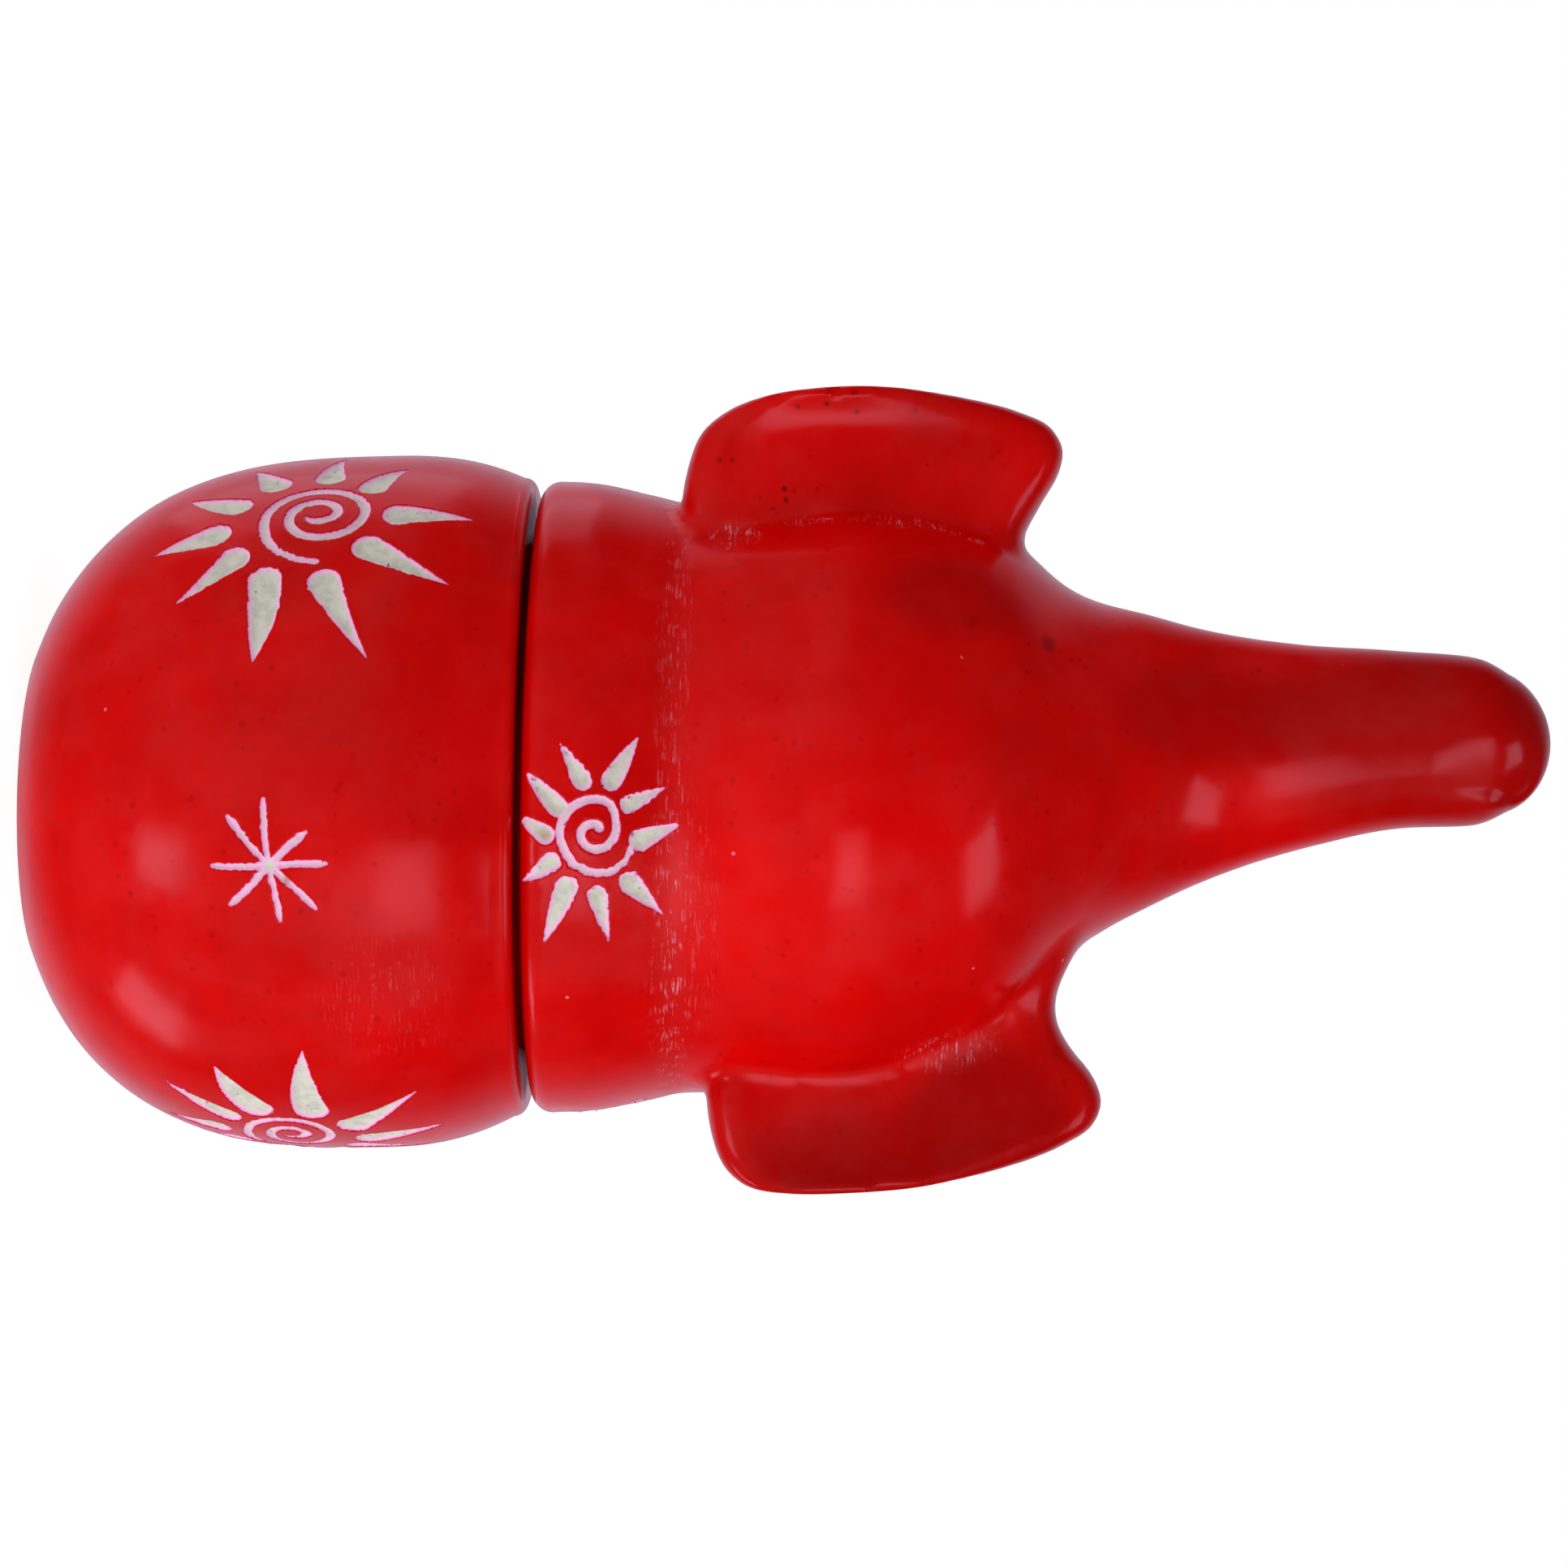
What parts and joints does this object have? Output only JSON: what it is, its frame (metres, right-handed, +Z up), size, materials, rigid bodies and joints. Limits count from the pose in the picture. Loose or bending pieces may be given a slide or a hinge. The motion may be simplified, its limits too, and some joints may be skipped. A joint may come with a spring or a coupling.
{
  "type": "lidded elephant jar",
  "caption": "Round carved stone jar whose lift-off lid is an elephant's head with flared ears and a raised trunk for a handle.",
  "frame": {"origin": "the point where the axis of the jar's mouth meets the plane of its foot", "axes": "+Z up along the mouth's axis, from the foot to the trunk's tip; -Y towards the elephant's forehead, +Y towards its throat; the ears stand out along +X and -X"},
  "size_m": [0.0759, 0.0672, 0.1459],
  "materials": {
    "red_stone": "red dyed soapstone, waxed to a soft gloss, with incised decoration that shows the cream stone"
  },
  "bodies": {
    "jar": {"jar_pot": "red_stone"},
    "lid": {"elephant_lid": "red_stone"}
  },
  "joints": [
    {"name": "lid_lift", "type": "slide", "parent": "jar", "child": "lid", "axis": [0, 0, 1], "range_m": [0, 0.08]}
  ]
}
